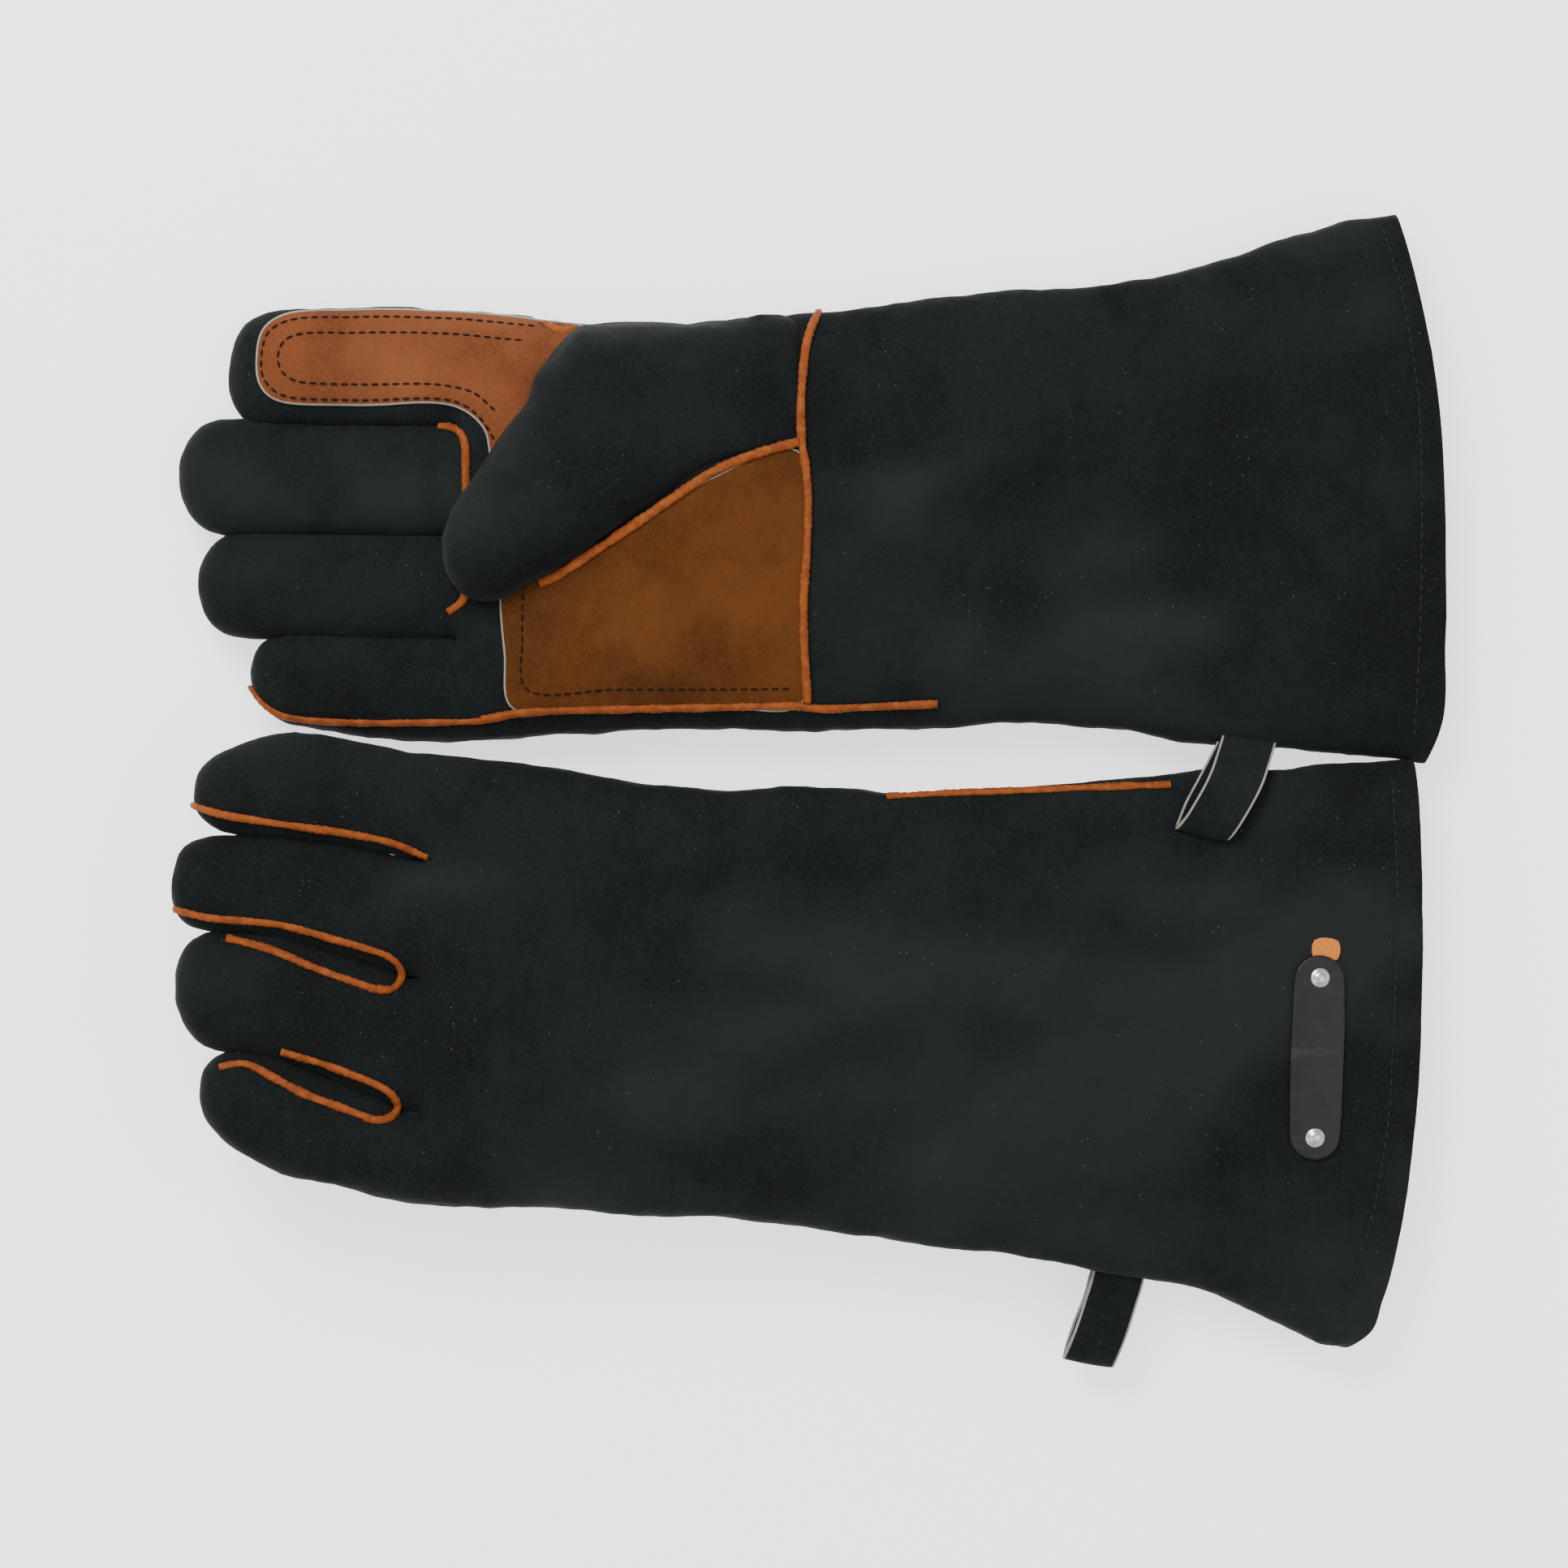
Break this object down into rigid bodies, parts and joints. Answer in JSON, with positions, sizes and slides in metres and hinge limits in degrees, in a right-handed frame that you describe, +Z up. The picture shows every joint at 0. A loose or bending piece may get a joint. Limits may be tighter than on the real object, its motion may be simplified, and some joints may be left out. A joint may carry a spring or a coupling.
{
  "type": "welding gloves",
  "caption": "Pair of long gauntlet welding gloves in suede leather with palm and index patches, lying flat side by side.",
  "frame": {"origin": "under the middle of the pair, on the surface that the gloves lie on", "axes": "+X from the fingertips to the cuff mouths, +Y from the left-hand glove to the right-hand glove, +Z up"},
  "size_m": [0.409, 0.3762, 0.0522],
  "materials": {
    "black_suede": "napped suede, nearly black",
    "tan_palm": "napped suede, dark tan",
    "brown_patch": "napped suede, reddish brown",
    "orange_welt": "smooth strip leather, orange brown",
    "fleece_lining": "cotton fleece and canvas",
    "glossy_leather": "glossy coated leather",
    "nickel_rivet": "bright nickel plate",
    "orange_cloth": "woven tape"
  },
  "bodies": {
    "left_index_finger": {"left_index_front": "black_suede", "left_index_back": "black_suede", "left_index_lining": "fleece_lining", "left_index_patch": "brown_patch"},
    "left_middle_finger": {"left_middle_front": "black_suede", "left_middle_back": "black_suede", "left_middle_lining": "fleece_lining"},
    "left_ring_finger": {"left_ring_front": "black_suede", "left_ring_back": "black_suede", "left_ring_lining": "fleece_lining"},
    "left_little_finger": {"left_little_front": "black_suede", "left_little_back": "black_suede", "left_little_lining": "fleece_lining"},
    "left_thumb": {"left_thumb_outer": "black_suede", "left_thumb_inner": "black_suede", "left_thumb_lining": "fleece_lining"},
    "left_loop": {"left_hang_loop": "black_suede"},
    "left_hand": {"left_back": "black_suede", "left_palm": "black_suede", "left_cuff_front": "black_suede", "left_hand_lining": "fleece_lining", "left_cuff_lining": "fleece_lining", "left_thumb_side_welt": "orange_welt", "left_little_side_welt": "orange_welt", "left_palm_patch": "tan_palm", "left_wrist_welt": "orange_welt", "left_thumb_wing": "black_suede", "left_name_tag": "glossy_leather", "left_tag_rivets": "nickel_rivet", "left_flag": "orange_cloth"},
    "right_index_finger": {"right_index_front": "black_suede", "right_index_back": "black_suede", "right_index_lining": "fleece_lining", "right_index_patch": "brown_patch"},
    "right_middle_finger": {"right_middle_front": "black_suede", "right_middle_back": "black_suede", "right_middle_lining": "fleece_lining"},
    "right_ring_finger": {"right_ring_front": "black_suede", "right_ring_back": "black_suede", "right_ring_lining": "fleece_lining"},
    "right_little_finger": {"right_little_front": "black_suede", "right_little_back": "black_suede", "right_little_lining": "fleece_lining"},
    "right_thumb": {"right_thumb_outer": "black_suede", "right_thumb_inner": "black_suede", "right_thumb_lining": "fleece_lining"},
    "right_loop": {"right_hang_loop": "black_suede"},
    "right_hand": {"right_back": "black_suede", "right_palm": "black_suede", "right_cuff_front": "black_suede", "right_hand_lining": "fleece_lining", "right_cuff_lining": "fleece_lining", "right_thumb_side_welt": "orange_welt", "right_little_side_welt": "orange_welt", "right_palm_patch": "tan_palm", "right_wrist_welt": "orange_welt", "right_thumb_wing": "black_suede"}
  },
  "joints": [
    {"name": "left_index_bend", "type": "hinge", "parent": "left_hand", "child": "left_index_finger", "pos_m": [-0.1193, -0.00535, 0.02209], "axis": [0, -1, 0], "range_deg": [0, 45], "stiffness_Nm_per_rad": 0.25},
    {"name": "left_middle_bend", "type": "hinge", "parent": "left_hand", "child": "left_middle_finger", "pos_m": [-0.1193, -0.04277, 0.02209], "axis": [0, -1, 0], "range_deg": [0, 45], "stiffness_Nm_per_rad": 0.25},
    {"name": "left_ring_bend", "type": "hinge", "parent": "left_hand", "child": "left_ring_finger", "pos_m": [-0.1193, -0.07768, 0.02209], "axis": [0, -1, 0], "range_deg": [0, 45], "stiffness_Nm_per_rad": 0.25},
    {"name": "left_little_bend", "type": "hinge", "parent": "left_hand", "child": "left_little_finger", "pos_m": [-0.1193, -0.11235, 0.02209], "axis": [0, -1, 0], "range_deg": [0, 45], "stiffness_Nm_per_rad": 0.25},
    {"name": "left_thumb_lift", "type": "hinge", "parent": "left_hand", "child": "left_thumb", "pos_m": [-0.06673, -0.03545, 0.001], "axis": [0.693, -0.7193, -0.0481], "range_deg": [0, 50], "stiffness_Nm_per_rad": 0.25},
    {"name": "left_loop_swing", "type": "hinge", "parent": "left_hand", "child": "left_loop", "pos_m": [0.09902, -0.16315, 0.02057], "axis": [-1, 0, 0], "range_deg": [0, 45]},
    {"name": "right_index_bend", "type": "hinge", "parent": "right_hand", "child": "right_index_finger", "pos_m": [-0.11264, 0.13805, 0.0256], "axis": [0, 1, 0], "range_deg": [0, 45], "stiffness_Nm_per_rad": 0.25},
    {"name": "right_middle_bend", "type": "hinge", "parent": "right_hand", "child": "right_middle_finger", "pos_m": [-0.11264, 0.1023, 0.0256], "axis": [0, 1, 0], "range_deg": [0, 45], "stiffness_Nm_per_rad": 0.25},
    {"name": "right_ring_bend", "type": "hinge", "parent": "right_hand", "child": "right_ring_finger", "pos_m": [-0.11264, 0.06905, 0.0256], "axis": [0, 1, 0], "range_deg": [0, 45], "stiffness_Nm_per_rad": 0.25},
    {"name": "right_little_bend", "type": "hinge", "parent": "right_hand", "child": "right_little_finger", "pos_m": [-0.11264, 0.03605, 0.0256], "axis": [0, 1, 0], "range_deg": [0, 45], "stiffness_Nm_per_rad": 0.25},
    {"name": "right_thumb_lift", "type": "hinge", "parent": "right_hand", "child": "right_thumb", "pos_m": [-0.06474, 0.11915, 0.043], "axis": [-0.6947, 0.7193, 0], "range_deg": [0, 50], "stiffness_Nm_per_rad": 0.25},
    {"name": "right_loop_swing", "type": "hinge", "parent": "right_hand", "child": "right_loop", "pos_m": [0.14326, 0.01703, 0.02485], "axis": [-1, 0, 0], "range_deg": [0, 45]},
    {"name": "gloves_apart", "type": "slide", "parent": "left_hand", "child": "right_hand", "axis": [0, 1, 0], "range_m": [0, 0.08]}
  ]
}
